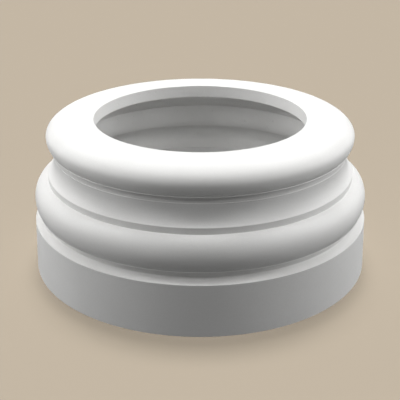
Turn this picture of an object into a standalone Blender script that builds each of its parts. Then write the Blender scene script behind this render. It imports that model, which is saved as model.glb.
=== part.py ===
# Round column base of the Attic kind, moulded in one piece in white polyurethane.
# It is a hollow ring: the foot of the column beds on its flat top, and a core can pass through.
# Heights are stacked up from the ground, and radii are counted outwards from the passage.
# Units are metres, +Z is up, and the origin is at the centre of the underside.

import math

import bpy

# Passage, bed and wall
passage_radius = 0.183
bed_width = 0.043
lip_depth = 0.022
wall = 0.022

# Upper torus
upper_crown_reach = 0.039
upper_crown_height = 0.024
upper_foot_inset = 0.0067
upper_foot_height = 0.0179

# Band below the upper torus, set back behind a small drip edge
drip_height = 0.002
band_setback = 0.004
band_height = 0.0107

# Scotia, the hollow moulding, with a narrow ledge at its head
ledge_width = 0.001
scotia_head_inset = 0.0008
scotia_head_height = 0.0089
scotia_flare_reach = 0.0112
scotia_flare_height = 0.0262

# Fillet between the scotia and the lower torus
fillet_height = 0.0109

# Lower torus
lower_crown_reach = 0.0243
lower_crown_height = 0.0313
lower_foot_inset = 0.0065
lower_foot_height = 0.0218

# Square lip, quirk and cavetto, between the lower torus and the drum
quirk_lip = 0.0015
quirk_inset = 0.005
quirk_height = 0.0106
cavetto_reach = 0.0142
cavetto_height = 0.0062

# Drum, the round plinth
drum_height = 0.088
drum_draft = math.radians(1.5)

# Inside, one wall behind the mouldings
shoulder_rise = 0.003
shoulder_height = 0.019
groove_corner = 0.012

# How far round its ellipse each curve is carried
torus_foot_turn = math.radians(53)
scotia_head_turn = math.radians(20)
scotia_flare_turn = math.radians(63)
cavetto_start = math.radians(32)
groove_turn = math.radians(60)

# Fineness
turn_steps = 80
sharp_angle = math.radians(28)

surface_colour = (0.86, 0.86, 0.85, 1.0)
surface_roughness = 0.55


def arc(centre, semi_axes, start, end, segments):
    """Points on an ellipse from one angle to another, both ends included."""
    points = []
    for index in range(segments + 1):
        angle = start + (end - start) * index / segments
        r = centre[0] + semi_axes[0] * math.cos(angle)
        z = centre[1] + semi_axes[1] * math.sin(angle)
        points.append((r, z))
    return points


def semi_axes_for(inset, height, turn):
    """Half widths of the ellipse that moves in and up by these amounts within the turn."""
    return (inset / (1 - math.cos(turn)), height / math.sin(turn))


def bulge_above(nose, inset, height, turn, segments):
    """A round moulding from its upper end out and down to its nose."""
    semi_axes = semi_axes_for(inset, height, turn)
    centre = (nose[0] - semi_axes[0], nose[1])
    return arc(centre, semi_axes, turn, 0, segments)


def bulge_below(nose, inset, height, turn, segments):
    """A round moulding from its nose down and in to its foot."""
    semi_axes = semi_axes_for(inset, height, turn)
    centre = (nose[0] - semi_axes[0], nose[1])
    return arc(centre, semi_axes, 0, -turn, segments)


def hollow_above(throat, reach, height, turn, segments):
    """A hollow moulding from its head in and down to its throat."""
    semi_axes = semi_axes_for(reach, height, turn)
    centre = (throat[0] + semi_axes[0], throat[1])
    return arc(centre, semi_axes, math.pi - turn, math.pi, segments)


def hollow_below(throat, reach, height, turn, segments):
    """A hollow moulding from its throat down and out to its foot."""
    semi_axes = semi_axes_for(reach, height, turn)
    centre = (throat[0] + semi_axes[0], throat[1])
    return arc(centre, semi_axes, math.pi, math.pi + turn, segments)


def hollow_to_foot(foot, reach, height, start, segments):
    """The last part of a quarter ellipse, from a crease down and out to its level foot."""
    semi_axes = (reach / math.cos(start), height / (1 - math.sin(start)))
    centre = (foot[0], foot[1] + semi_axes[1])
    return arc(centre, semi_axes, math.pi + start, math.pi * 1.5, segments)


def stack_levels():
    """Height of each line of the mouldings above the ground."""
    z = {"drum": drum_height}
    z["quirk"] = z["drum"] + cavetto_height
    z["quirk_lip"] = z["quirk"] + quirk_height
    z["lower_foot"] = z["quirk_lip"] + quirk_lip
    z["lower_nose"] = z["lower_foot"] + lower_foot_height
    z["fillet_foot"] = z["lower_nose"] + lower_crown_height
    z["fillet_top"] = z["fillet_foot"] + fillet_height
    z["throat"] = z["fillet_top"] + scotia_flare_height
    z["scotia_head"] = z["throat"] + scotia_head_height
    z["band_top"] = z["scotia_head"] + band_height
    z["upper_foot"] = z["band_top"] + drip_height
    z["upper_nose"] = z["upper_foot"] + upper_foot_height
    z["bed"] = z["upper_nose"] + upper_crown_height
    return z


def stack_radii():
    """Distance of each line of the mouldings from the axis."""
    r = {"bed_edge": passage_radius + bed_width}
    r["upper_nose"] = r["bed_edge"] + upper_crown_reach
    r["upper_foot"] = r["upper_nose"] - upper_foot_inset
    r["band"] = r["upper_foot"] - band_setback
    r["scotia_head"] = r["band"] + ledge_width
    r["throat"] = r["scotia_head"] - scotia_head_inset
    r["fillet"] = r["throat"] + scotia_flare_reach
    r["lower_nose"] = r["fillet"] + lower_crown_reach
    r["lower_foot"] = r["lower_nose"] - lower_foot_inset
    r["quirk"] = r["lower_foot"] - quirk_inset
    r["drum_top"] = r["quirk"] + cavetto_reach
    r["drum_foot"] = r["drum_top"] + drum_height * math.tan(drum_draft)
    return r


def outside(z, r):
    """The mouldings, from the passage's upper edge over the torus and down to the ground."""
    quarter = math.pi / 2
    upper_nose = (r["upper_nose"], z["upper_nose"])
    lower_nose = (r["lower_nose"], z["lower_nose"])
    throat = (r["throat"], z["throat"])
    drum_edge = (r["drum_top"], z["drum"])

    points = [(passage_radius, z["bed"])]
    points += bulge_above(upper_nose, upper_crown_reach, upper_crown_height, quarter, 7)
    points += bulge_below(upper_nose, upper_foot_inset, upper_foot_height, torus_foot_turn, 3)[1:]
    points += [(r["upper_foot"], z["band_top"])]
    points += [(r["band"], z["band_top"])]
    points += [(r["band"], z["scotia_head"])]
    points += hollow_above(throat, scotia_head_inset, scotia_head_height, scotia_head_turn, 1)
    points += hollow_below(throat, scotia_flare_reach, scotia_flare_height, scotia_flare_turn, 5)[1:]
    points += bulge_above(lower_nose, lower_crown_reach, lower_crown_height, quarter, 5)
    points += bulge_below(lower_nose, lower_foot_inset, lower_foot_height, torus_foot_turn, 3)[1:]
    points += [(r["lower_foot"], z["quirk_lip"])]
    points += [(r["quirk"], z["quirk_lip"])]
    points += hollow_to_foot(drum_edge, cavetto_reach, cavetto_height, cavetto_start, 4)
    points += [(r["drum_foot"], 0)]
    return points


def inside(z, r):
    """The hollow, from the ground up to the passage's lower edge."""
    under_lip = z["bed"] - lip_depth
    shoulder_top = z["lower_foot"] + shoulder_rise
    shoulder_foot = shoulder_top - shoulder_height
    shoulder = r["quirk"] - wall
    drum_face = r["drum_top"] - wall

    # Behind the lower torus, up to the back of the fillet
    groove = (r["lower_nose"] - wall, z["lower_nose"])
    groove_below = bulge_below(groove, groove[0] - shoulder, groove[1] - shoulder_top, groove_turn, 3)
    fillet_back = z["fillet_foot"] - groove[1]
    groove_above = bulge_above(groove, lower_crown_reach, fillet_back, groove_turn, 4)

    # Behind the scotia
    throat = (r["throat"] - wall, z["throat"])
    flare = hollow_below(throat, scotia_flare_reach, z["throat"] - z["fillet_foot"], scotia_flare_turn, 4)
    head = hollow_above(throat, scotia_head_inset, scotia_head_height, scotia_head_turn, 1)

    # Behind the upper torus, up to the lip
    pocket = (r["upper_nose"] - wall, (z["scotia_head"] + under_lip) / 2)
    pocket_inset = pocket[0] - head[0][0]
    pocket_below = bulge_below(pocket, pocket_inset, pocket[1] - z["scotia_head"], groove_turn, 3)
    pocket_above = bulge_above(pocket, groove_corner, under_lip - pocket[1], math.pi / 2, 3)

    points = [(r["drum_foot"] - wall, 0)]
    points += [(drum_face, shoulder_foot - (drum_face - shoulder))]
    points += [(shoulder, shoulder_foot)]
    points += reversed(groove_below)
    points += list(reversed(groove_above))[1:]
    points += list(reversed(flare))[1:]
    points += list(reversed(head))[1:]
    points += list(reversed(pocket_below))[1:]
    points += list(reversed(pocket_above))[1:]
    points += [(passage_radius, under_lip)]
    return points


def white_polyurethane():
    """Moulded skin with its factory coat of matt white primer."""
    material = bpy.data.materials.new("white_polyurethane")
    material.use_nodes = True
    shader = material.node_tree.nodes["Principled BSDF"]
    shader.inputs["Base Color"].default_value = surface_colour
    shader.inputs["Roughness"].default_value = surface_roughness
    shader.inputs["Metallic"].default_value = 0
    return material


def turned(name, profile):
    """A closed profile in the XZ plane, turned once round the Z axis."""
    count = len(profile)
    verts = [(r, 0, z) for r, z in profile]
    edges = [(index, (index + 1) % count) for index in range(count)]
    mesh = bpy.data.meshes.new(name + "_profile")
    mesh.from_pydata(verts, edges, [])
    blank = bpy.data.objects.new(name + "_profile", mesh)
    bpy.context.scene.collection.objects.link(blank)

    screw = blank.modifiers.new("turn", "SCREW")
    screw.axis = "Z"
    screw.angle = math.tau
    screw.steps = turn_steps
    screw.render_steps = turn_steps
    screw.use_merge_vertices = True
    screw.merge_threshold = 0.00001

    depsgraph = bpy.context.evaluated_depsgraph_get()
    solid = bpy.data.meshes.new_from_object(blank.evaluated_get(depsgraph))
    solid.name = name
    solid.shade_smooth()
    solid.set_sharp_from_angle(angle=sharp_angle)
    bpy.data.objects.remove(blank)
    return bpy.data.objects.new(name, solid)


def build():
    for old in list(bpy.data.objects):
        bpy.data.objects.remove(old)

    collection = bpy.data.collections.new("Column base")
    bpy.context.scene.collection.children.link(collection)

    z = stack_levels()
    r = stack_radii()
    base = turned("column_base", outside(z, r) + inside(z, r))
    base.data.materials.append(white_polyurethane())
    collection.objects.link(base)


build()
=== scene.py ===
# Moulded polyurethane column base on a plain floor, with its finish, lamps and camera.
# The ring is one profile carried round the column's axis. Lengths are metres, angles degrees.

import math

import bpy
import numpy as np
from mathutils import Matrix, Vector


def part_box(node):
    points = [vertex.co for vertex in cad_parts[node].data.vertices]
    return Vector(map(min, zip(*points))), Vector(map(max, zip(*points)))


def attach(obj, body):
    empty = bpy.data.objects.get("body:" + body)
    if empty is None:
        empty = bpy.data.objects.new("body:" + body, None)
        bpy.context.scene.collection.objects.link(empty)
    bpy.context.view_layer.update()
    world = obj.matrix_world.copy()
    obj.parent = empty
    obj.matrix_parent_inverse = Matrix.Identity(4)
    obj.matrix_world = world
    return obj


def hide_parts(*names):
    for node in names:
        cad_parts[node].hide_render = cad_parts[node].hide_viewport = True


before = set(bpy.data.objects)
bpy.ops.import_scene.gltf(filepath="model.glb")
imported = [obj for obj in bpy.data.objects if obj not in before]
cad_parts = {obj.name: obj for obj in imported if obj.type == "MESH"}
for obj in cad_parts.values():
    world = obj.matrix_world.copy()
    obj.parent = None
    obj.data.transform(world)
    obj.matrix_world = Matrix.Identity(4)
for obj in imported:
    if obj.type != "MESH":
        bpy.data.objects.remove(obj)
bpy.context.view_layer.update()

scene = bpy.context.scene
nodeLow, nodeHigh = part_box("column_base")
print("frame loaded, base is", round(nodeHigh.x - nodeLow.x, 3), "m across")


# The mouldings. Heights stack up from the ground, radii are counted out from the passage.
# A pair is the sideways reach of a moulding and its height.
ringShape = {
    "passageRadius": 0.183,
    "bedWidth": 0.043,
    "lipDepth": 0.022,
    "wall": 0.022,
    "upperCrown": (0.039, 0.024),      # upper torus above its nose
    "upperFoot": (0.0067, 0.0179),     # and below it
    "dripHeight": 0.002,
    "edgeFlare": 0.0007,               # the drip edge and the lip over the quirk widen downwards
    "bandSetback": 0.004,
    "bandHeight": 0.0107,
    "ledgeWidth": 0.0005,
    "scotiaHead": (0.0003, 0.0089),    # scotia above its throat
    "scotiaFlare": (0.0112, 0.0262),   # and below it
    "filletHeight": 0.0109,
    "lowerCrown": (0.0243, 0.0313),
    "lowerFoot": (0.0065, 0.0218),
    "quirkLip": 0.0015,                # square edge of the lower torus over the quirk
    "quirk": (0.0075, 0.0112),
    "cavetto": (0.016, 0.0056),
    "cavettoStart": 32,                # how far the cavetto has already turned at its head
    "drumHeight": 0.088,
    "drumDraft": 1.95,                 # lean of the drum's face
    "shoulderRise": 0.003,             # inside, how far the shoulder reaches over the torus's foot
    "shoulderHeight": 0.019,
    "grooveCorner": 0.012,             # inside, reach of the curve up to the lip
    "footTurn": 53,                    # how far each curve is carried round its ellipse
    "headTurn": 20,
    "flareTurn": 63,
    "grooveTurn": 60,
}

ringMesh = {
    "arcPoints": 40,                   # points along each curve of the sharp profile
    "samePlace": 1e-9,                 # corners closer than this are one
    "tracePitch": 0.0002,              # spacing of the traced profile
    "arrisSoftness": 0.0003,           # how far each sharp edge is eased
    "rings": 330,                      # points kept along the profile
    "turns": 288,                      # steps round the axis
    "bendShare": 0.55,                 # share of the points spent where the profile bends
    "bendReach": 4,                    # steps to each side over which the bend is averaged
}


# Ellipse through a turning point: r = centre r + a cos(angle), z = centre z + b sin(angle).
# a and b are such that the curve moves sideways by reach and up or down by height in the turn.
def curveRun(turningPoint, reach, height, turn, kind):
    a = reach / (1 - math.cos(turn))
    b = height / math.sin(turn)
    side = 1 if kind in ("crown", "foot") else -1      # a bulge has its centre towards the axis
    ends = {
        "crown": (turn, 0),
        "foot": (0, -turn),
        "head": (math.pi - turn, math.pi),
        "flare": (math.pi, math.pi + turn),
    }[kind]
    angle = np.linspace(ends[0], ends[1], ringMesh["arcPoints"])
    r = turningPoint[0] - side * a + a * np.cos(angle)
    z = turningPoint[1] + b * np.sin(angle)
    return np.column_stack((r, z))


# Sharp profile, from the passage's upper edge down the outside and up the inside: each height
# is the one below plus that moulding's height, each radius the one above plus its reach or less
# its inset.
def ringProfile(s):
    footTurn, headTurn = math.radians(s["footTurn"]), math.radians(s["headTurn"])
    flareTurn, grooveTurn = math.radians(s["flareTurn"]), math.radians(s["grooveTurn"])
    quarter = math.pi / 2

    zDrum = s["drumHeight"]
    zQuirk = zDrum + s["cavetto"][1]
    zLip = zQuirk + s["quirk"][1]
    zLowerFoot = zLip + s["quirkLip"]
    zLowerNose = zLowerFoot + s["lowerFoot"][1]
    zFilletFoot = zLowerNose + s["lowerCrown"][1]
    zFilletTop = zFilletFoot + s["filletHeight"]
    zThroat = zFilletTop + s["scotiaFlare"][1]
    zHead = zThroat + s["scotiaHead"][1]
    zBandTop = zHead + s["bandHeight"]
    zUpperFoot = zBandTop + s["dripHeight"]
    zUpperNose = zUpperFoot + s["upperFoot"][1]
    zBed = zUpperNose + s["upperCrown"][1]

    rBedEdge = s["passageRadius"] + s["bedWidth"]
    rUpperNose = rBedEdge + s["upperCrown"][0]
    rUpperFoot = rUpperNose - s["upperFoot"][0]
    rBand = rUpperFoot - s["bandSetback"]
    rHead = rBand + s["ledgeWidth"]
    rThroat = rHead - s["scotiaHead"][0]
    rFillet = rThroat + s["scotiaFlare"][0]
    rLowerNose = rFillet + s["lowerCrown"][0]
    rLowerFoot = rLowerNose - s["lowerFoot"][0]
    rQuirk = rLowerFoot - s["quirk"][0]
    rDrumTop = rQuirk + s["cavetto"][0]
    rDrumFoot = rDrumTop + zDrum * math.tan(math.radians(s["drumDraft"]))

    # The cavetto is the last part of a quarter ellipse, so it meets the quirk at a crease.
    turn = np.linspace(math.radians(s["cavettoStart"]), quarter, ringMesh["arcPoints"])
    reach, height = s["cavetto"]
    a = reach / math.cos(turn[0])
    b = height / (1 - math.sin(turn[0]))
    cavetto = np.column_stack((rDrumTop - a * np.cos(turn), zDrum + b * (1 - np.sin(turn))))

    outside = np.vstack((
        [(s["passageRadius"], zBed)],
        curveRun((rUpperNose, zUpperNose), *s["upperCrown"], quarter, "crown"),
        curveRun((rUpperNose, zUpperNose), *s["upperFoot"], footTurn, "foot"),
        [(rUpperFoot + s["edgeFlare"], zBandTop), (rBand, zBandTop), (rBand, zHead)],
        curveRun((rThroat, zThroat), *s["scotiaHead"], headTurn, "head"),
        curveRun((rThroat, zThroat), *s["scotiaFlare"], flareTurn, "flare"),
        curveRun((rLowerNose, zLowerNose), *s["lowerCrown"], quarter, "crown"),
        curveRun((rLowerNose, zLowerNose), *s["lowerFoot"], footTurn, "foot"),
        [(rLowerFoot + s["edgeFlare"], zLip), (rQuirk, zLip)],
        cavetto,
        [(rDrumFoot, 0)],
    ))

    # The inside follows the mouldings one wall behind them, from the ground up to the lip.
    wall = s["wall"]
    zUnderLip = zBed - s["lipDepth"]
    zShoulder = zLowerFoot + s["shoulderRise"]
    zShoulderFoot = zShoulder - s["shoulderHeight"]
    rShoulder, rDrumFace = rQuirk - wall, rDrumTop - wall
    groove = (rLowerNose - wall, zLowerNose)
    throat = (rThroat - wall, zThroat)
    pocket = (rUpperNose - wall, (zHead + zUnderLip) / 2)
    rHeadBack = throat[0] + s["scotiaHead"][0]
    behind = [
        curveRun(groove, groove[0] - rShoulder, groove[1] - zShoulder, grooveTurn, "foot"),
        curveRun(groove, s["lowerCrown"][0], zFilletFoot - groove[1], grooveTurn, "crown"),
        curveRun(throat, s["scotiaFlare"][0], zThroat - zFilletFoot, flareTurn, "flare"),
        curveRun(throat, *s["scotiaHead"], headTurn, "head"),
        curveRun(pocket, pocket[0] - rHeadBack, pocket[1] - zHead, grooveTurn, "foot"),
        curveRun(pocket, s["grooveCorner"], zUnderLip - pocket[1], quarter, "crown"),
    ]
    inside = np.vstack((
        [(rDrumFoot - wall, 0)],
        [(rDrumFace, zShoulderFoot - (rDrumFace - rShoulder))],
        [(rShoulder, zShoulderFoot)],
        *[run[::-1] for run in behind],
        [(s["passageRadius"], zUnderLip)],
    ))
    return np.vstack((outside, inside))


# Even trace of the closed profile, then a Gaussian average along it, which eases every arris
# and leaves the long curves where they are. Each wave along it is damped by exp(-2 (pi s w)^2),
# where s is the softness and w the waves per metre.
def easedProfile(corners, pitch, softness):
    closed = np.vstack((corners, corners[:1]))
    step = np.hypot(*np.diff(closed, axis=0).T)
    keep = np.r_[True, step > ringMesh["samePlace"]]
    closed, along = closed[keep], np.r_[0, np.cumsum(step)][keep]
    count = int(round(along[-1] / pitch))
    places = np.arange(count) * along[-1] / count
    trace = np.column_stack([np.interp(places, along, closed[:, k]) for k in (0, 1)])
    wave = np.fft.rfftfreq(count, d=along[-1] / count)
    damp = np.exp(-2 * (math.pi * softness * wave) ** 2)
    return np.column_stack([np.fft.irfft(np.fft.rfft(trace[:, k]) * damp, count) for k in (0, 1)])


# Keeps a set number of points, some spread evenly and the rest where the profile turns: each
# step weighs its share of the length and its share of the bend, and points are set at equal weight.
def thinnedProfile(trace, points, bendShare, reach):
    ahead = np.roll(trace, -1, axis=0) - trace
    heading = np.unwrap(np.arctan2(ahead[:, 1], ahead[:, 0]))
    wholeTurns = round((heading[-1] - heading[0]) / math.tau)
    bend = np.abs(np.diff(heading, append=heading[0] + wholeTurns * math.tau))
    window = 2 * reach + 1
    bend = np.convolve(np.r_[bend[-reach:], bend, bend[:reach]], np.ones(window) / window, "valid")
    length = np.hypot(*ahead.T)
    weight = (1 - bendShare) * length / length.sum() + bendShare * bend / bend.sum()
    share = np.r_[0, np.cumsum(weight)]
    chosen = np.interp(np.arange(points) / points, share / share[-1], np.arange(len(trace) + 1))
    wrapped = np.vstack((trace, trace[:1]))
    index = np.arange(len(wrapped))
    return np.column_stack([np.interp(chosen, index, wrapped[:, k]) for k in (0, 1)])


# Surface of turning: x = r cos(turn), y = r sin(turn), z = z, on a grid closed both ways.
def turnedMesh(name, profile, turns):
    rows = len(profile)
    angle = np.arange(turns) * math.tau / turns
    x = profile[:, :1] * np.cos(angle)
    y = profile[:, :1] * np.sin(angle)
    z = np.repeat(profile[:, 1:], turns, axis=1)
    points = np.stack((x, y, z), axis=-1).reshape(-1, 3)

    i, j = np.meshgrid(np.arange(rows), np.arange(turns), indexing="ij")
    here, below = i * turns, (i + 1) % rows * turns
    after = (j + 1) % turns
    quads = np.stack((here + j, below + j, below + after, here + after), axis=-1).reshape(-1, 4)

    mesh = bpy.data.meshes.new(name)
    mesh.vertices.add(len(points))
    mesh.vertices.foreach_set("co", points.astype(np.float32).ravel())
    mesh.loops.add(quads.size)
    mesh.loops.foreach_set("vertex_index", quads.astype(np.int32).ravel())
    mesh.polygons.add(len(quads))
    mesh.polygons.foreach_set("loop_start", np.arange(0, quads.size, 4, dtype=np.int32))
    mesh.update(calc_edges=True)
    mesh.validate()
    mesh.shade_smooth()
    return mesh


# White primer over moulded skin. Each noise has its scale per metre, detail and roughness, and
# each range says between which values of the noise the look goes from one end to the other.
primerLook = {
    "coat": (0.815, 0.812, 0.800, 1),
    "thinCoat": (0.775, 0.771, 0.757, 1),   # where the primer lies thinner, warmer from the skin
    "cloudNoise": (8, 4, 0.6),
    "cloudRange": (0.35, 0.7),
    "grainNoise": (380, 2, 0.5),
    "grainRange": (0.35, 0.65),
    "grainShare": 0.35,
    "sheenNoise": (26, 3, 0.5),             # patches of smoother and rougher primer
    "sheenRange": (0.3, 0.7),
    "roughness": (0.47, 0.60),
    "specular": 0.4,
    "peelNoise": (620, 3, 0.5),             # orange peel of the sprayed coat
    "peelDepth": 0.00012,
    "poresPerMetre": 75,                    # small blisters of the foam, on the inside alone
    "poreWidth": 0.14,                      # share of the distance from one to the next
    "poreDepth": 0.0005,
    "insideRange": (-0.35, -0.1),           # how far the surface faces out where the pores end
}


# Shader node with its settings and the values of its inputs
def addNode(tree, kind, settings=None, values=None):
    node = tree.nodes.new("ShaderNode" + kind)
    for name, value in (settings or {}).items():
        setattr(node, name, value)
    for socket, value in (values or {}).items():
        node.inputs[socket].default_value = value
    return node


def primedMaterial(look):
    material = bpy.data.materials.new("whitePrimer")
    material.use_nodes = True
    tree = material.node_tree
    link = tree.links.new
    shader = tree.nodes["Principled BSDF"]
    shader.inputs["Specular IOR Level"].default_value = look["specular"]
    place = addNode(tree, "TexCoord")

    def noiseAt(name):
        scale, detail, rough = look[name]
        values = {"Scale": scale, "Detail": detail, "Roughness": rough}
        noise = addNode(tree, "TexNoise", values=values)
        link(place.outputs["Object"], noise.inputs["Vector"])
        return noise.outputs["Fac"]

    # Soft step from the first range to the second, which holds the second's ends beyond the first
    def spread(value, fromRange, toRange):
        ends = ("From Min", "From Max", "To Min", "To Max")
        values = dict(zip(ends, (*fromRange, *toRange)))
        node = addNode(tree, "MapRange", {"interpolation_type": "SMOOTHSTEP"}, values)
        link(value, node.inputs["Value"])
        return node.outputs["Result"]

    # Colour: broad clouds of thinner coat, and a fine grain over them.
    clouds = spread(noiseAt("cloudNoise"), look["cloudRange"], (0, 1 - look["grainShare"]))
    grain = spread(noiseAt("grainNoise"), look["grainRange"], (0, look["grainShare"]))
    both = addNode(tree, "Math", {"operation": "ADD"})
    link(clouds, both.inputs[0])
    link(grain, both.inputs[1])
    colour = addNode(tree, "MixRGB", values={"Color1": look["coat"], "Color2": look["thinCoat"]})
    link(both.outputs[0], colour.inputs["Fac"])
    link(colour.outputs["Color"], shader.inputs["Base Color"])

    # Roughness: patches where the coat dried a little smoother.
    sheen = spread(noiseAt("sheenNoise"), look["sheenRange"], look["roughness"])
    link(sheen, shader.inputs["Roughness"])

    # Inside or outside: the surface's direction along the line out from the axis.
    outward = addNode(tree, "VectorMath", {"operation": "MULTIPLY"}, {1: (1, 1, 0)})
    unit = addNode(tree, "VectorMath", {"operation": "NORMALIZE"})
    facing = addNode(tree, "VectorMath", {"operation": "DOT_PRODUCT"})
    link(place.outputs["Object"], outward.inputs[0])
    link(outward.outputs[0], unit.inputs[0])
    link(unit.outputs[0], facing.inputs[0])
    link(place.outputs["Normal"], facing.inputs[1])
    inside = spread(facing.outputs["Value"], look["insideRange"], (1, 0))

    # Relief: orange peel all over, pores on the inside.
    peel = addNode(tree, "Bump", values={"Strength": 1.0, "Distance": look["peelDepth"]})
    link(noiseAt("peelNoise"), peel.inputs["Height"])
    cells = addNode(tree, "TexVoronoi", values={"Scale": look["poresPerMetre"]})
    link(place.outputs["Object"], cells.inputs["Vector"])
    poreRange = (look["poreWidth"] / 2, look["poreWidth"])
    pit = addNode(tree, "Math", {"operation": "MULTIPLY"})
    link(spread(cells.outputs["Distance"], poreRange, (1, 0)), pit.inputs[0])
    link(inside, pit.inputs[1])
    poreValues = {"Strength": 1.0, "Distance": look["poreDepth"]}
    pores = addNode(tree, "Bump", {"invert": True}, poreValues)
    link(pit.outputs[0], pores.inputs["Height"])
    link(peel.outputs["Normal"], pores.inputs["Normal"])
    link(pores.outputs["Normal"], shader.inputs["Normal"])
    return material


sharpProfile = ringProfile(ringShape)
softProfile = easedProfile(sharpProfile, ringMesh["tracePitch"], ringMesh["arrisSoftness"])
turnedProfile = thinnedProfile(
    softProfile, ringMesh["rings"], ringMesh["bendShare"], ringMesh["bendReach"])
base = bpy.data.objects.new(
    "columnBase", turnedMesh("columnBase", turnedProfile, ringMesh["turns"]))
scene.collection.objects.link(base)
base.data.materials.append(primedMaterial(primerLook))
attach(base, "root")
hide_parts("column_base")
print("ring turned,", len(base.data.polygons), "faces")


# Floor and backdrop. The floor takes its own lamps, and lends no light to the ring, which keeps
# the undersides of the mouldings as dark as they are in the picture.
stageLook = {
    "floorRadius": 40.0,
    "floorPaint": (0.24, 0.206, 0.162, 1),
    "floorRoughness": 0.8,
    "backdropGlow": (0.56, 0.48, 0.38, 1),
    "rim": 96,                       # sides of the round floor and of the backdrop
    "bands": 24,                     # rows of the backdrop from the rim up to its crown
    "crownGap": 0.01,                # radians left open at the crown
}


# Piece of the studio, which the ring neither reflects nor takes light from
def stageObject(name, mesh, material):
    piece = bpy.data.objects.new(name, mesh)
    mesh.materials.append(material)
    scene.collection.objects.link(piece)
    piece.visible_diffuse = False
    piece.visible_glossy = False
    return piece


# Flat round floor, a ring of points filled by one face: x = r cos(turn), y = r sin(turn), z = 0.
def makeFloor(look):
    rim = look["rim"]
    turn = np.arange(rim) * math.tau / rim
    ring = np.column_stack((np.cos(turn), np.sin(turn), np.zeros(rim))) * look["floorRadius"]
    mesh = bpy.data.meshes.new("studioFloor")
    mesh.from_pydata(ring.tolist(), [], [list(range(rim))])
    material = bpy.data.materials.new("floorPaint")
    material.use_nodes = True
    shader = material.node_tree.nodes["Principled BSDF"]
    shader.inputs["Base Color"].default_value = look["floorPaint"]
    shader.inputs["Roughness"].default_value = look["floorRoughness"]
    shader.inputs["Specular IOR Level"].default_value = 0.0
    return stageObject("studioFloor", mesh, material)


# Half sphere over the floor: x = r cos(rise) cos(turn), y = r cos(rise) sin(turn), z = r sin(rise).
def makeBackdrop(look):
    rim, bands = look["rim"], look["bands"]
    around = np.arange(rim) * math.tau / rim
    upward = np.linspace(0, math.pi / 2 - look["crownGap"], bands)
    turn, rise = np.meshgrid(around, upward)
    x, y, z = np.cos(rise) * np.cos(turn), np.cos(rise) * np.sin(turn), np.sin(rise)
    points = np.stack((x, y, z), axis=-1).reshape(-1, 3) * look["floorRadius"]
    i, j = np.meshgrid(np.arange(bands - 1), np.arange(rim), indexing="ij")
    here, above = i * rim, (i + 1) * rim
    after = (j + 1) % rim
    quads = np.stack((here + j, above + j, above + after, here + after), axis=-1).reshape(-1, 4)
    mesh = bpy.data.meshes.new("studioBackdrop")
    mesh.from_pydata(points.tolist(), [], quads.tolist())
    material = bpy.data.materials.new("backdropGlow")
    material.use_nodes = True
    shader = material.node_tree.nodes["Principled BSDF"]
    shader.inputs["Base Color"].default_value = (0, 0, 0, 1)
    shader.inputs["Specular IOR Level"].default_value = 0.0
    shader.inputs["Emission Color"].default_value = look["backdropGlow"]
    shader.inputs["Emission Strength"].default_value = 1.0
    backdrop = stageObject("studioBackdrop", mesh, material)
    backdrop.visible_shadow = False


floor = makeFloor(stageLook)
makeBackdrop(stageLook)

# Lamps: azimuth is measured round from the viewer's side, elevation up from the floor. Round soft
# boxes stand in pairs about the ring, left and right, with more power at the sides and the back.
lampSet = {
    "aim": (0, 0, 0.15),
    "distance": 2.4,                 # from the aim to each soft box
    "size": 0.6,                     # width of each soft box
    "boxes": [                       # name, azimuth, elevation, power of each lamp in watts
        ("rearPair", 150, 50, 10.6),
        ("backPair", 120, 50, 11.0),
        ("lowBackPair", 120, 14, 4.8),
        ("sidePair", 90, 36, 11.7),
        ("lowPair", 90, 14, 9.6),
        ("highPair", 60, 68, 5.5),
        ("wingPair", 60, 36, 6.3),
        ("frontPair", 30, 50, 1.8),
    ],
    "passageGlow": {"size": 0.3, "height": 0.236, "power": 0.115},
    "sky": (1.0, 1.0, 1.0, 1),
    "skyStrength": 0.109,
    "floorSuns": [                   # name, azimuth, elevation, spread, strength, casts a shadow
        ("floorKeyLeft", -168, 71, 16, 1.45, True),
        ("floorKeyRight", 168, 71, 16, 1.45, True),
        ("floorSoft", 0, 90, 120, 0.3, True),
        ("floorFill", 0, 90, 10, 3.85, False),
    ],
}


# Unit vector from the ring towards a lamp: x = sin a cos e, y = -cos a cos e, z = sin e, with
# a for the azimuth and e for the elevation.
def lampDirection(azimuth, elevation):
    a, e = math.radians(azimuth), math.radians(elevation)
    return Vector((math.sin(a) * math.cos(e), -math.cos(a) * math.cos(e), math.sin(e)))


# Puts a lamp at its place, shining against the direction, on the pieces of one group alone
def placeLamp(light, place, direction, lit):
    lamp = bpy.data.objects.new(light.name, light)
    lamp.location = place
    lamp.rotation_euler = (-direction).to_track_quat("-Z", "Y").to_euler()
    lamp.light_linking.receiver_collection = lit
    scene.collection.objects.link(lamp)
    return lamp


def litGroup(name, piece):
    group = bpy.data.collections.new(name)
    group.objects.link(piece)
    return group


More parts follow.
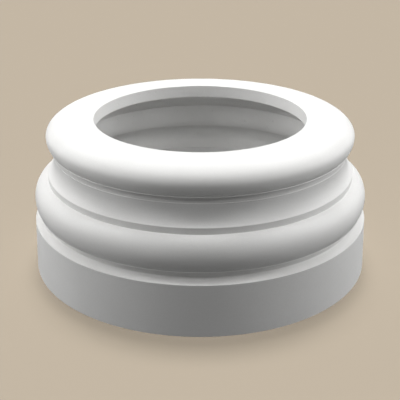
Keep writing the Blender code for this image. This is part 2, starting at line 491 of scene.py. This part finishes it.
def softBox(name, size, power):
    light = bpy.data.lights.new(name, "AREA")
    light.shape = "DISK"
    light.size = size
    light.energy = power
    return light


def makeLamps(plan, ring, ground):
    ringOnly, groundOnly = litGroup("litRing", ring), litGroup("litGround", ground)
    aim = Vector(plan["aim"])
    for name, azimuth, elevation, power in plan["boxes"]:
        for suffix, side in (("Left", -1), ("Right", 1)):
            direction = lampDirection(side * azimuth, elevation)
            box = softBox(name + suffix, plan["size"], power)
            placeLamp(box, aim + direction * plan["distance"], direction, ringOnly)

    # Light that the passage lets in, which shines down on the wall behind the mouldings
    glow = plan["passageGlow"]
    straightUp = Vector((0, 0, 1))
    box = softBox("passageGlow", glow["size"], glow["power"])
    letIn = placeLamp(box, (0, 0, glow["height"]), straightUp, ringOnly)
    letIn.visible_camera = False
    letIn.visible_glossy = False

    for name, azimuth, elevation, spread, strength, shadow in plan["floorSuns"]:
        light = bpy.data.lights.new(name, "SUN")
        light.angle = math.radians(spread)
        light.energy = strength
        light.use_shadow = shadow
        direction = lampDirection(azimuth, elevation)
        placeLamp(light, direction * plan["distance"], direction, groundOnly)

    world = bpy.data.worlds.new("studioSky")
    world.use_nodes = True
    background = world.node_tree.nodes["Background"]
    background.inputs["Color"].default_value = plan["sky"]
    background.inputs["Strength"].default_value = plan["skyStrength"]
    scene.world = world


makeLamps(lampSet, base, floor)

# Camera at the photograph's viewing angle
cameraPlan = {
    "distance": 1.4122,              # in front of the column's axis
    "height": 0.7162,
    "sideways": -0.0003,
    "pitch": 23.56,                  # down from level
    "lens": 76.97,                   # millimetres, on a sensor of this width
    "sensor": 36,
}


def makeCamera(plan):
    data = bpy.data.cameras.new("catalogueCamera")
    data.sensor_width = plan["sensor"]
    data.lens = plan["lens"]
    camera = bpy.data.objects.new("catalogueCamera", data)
    camera.location = (plan["sideways"], -plan["distance"], plan["height"])
    camera.rotation_euler = (math.radians(90 - plan["pitch"]), 0, 0)
    scene.collection.objects.link(camera)
    scene.camera = camera


makeCamera(cameraPlan)
scene.view_settings.view_transform = "Standard"
print("floor, lamps and camera set")
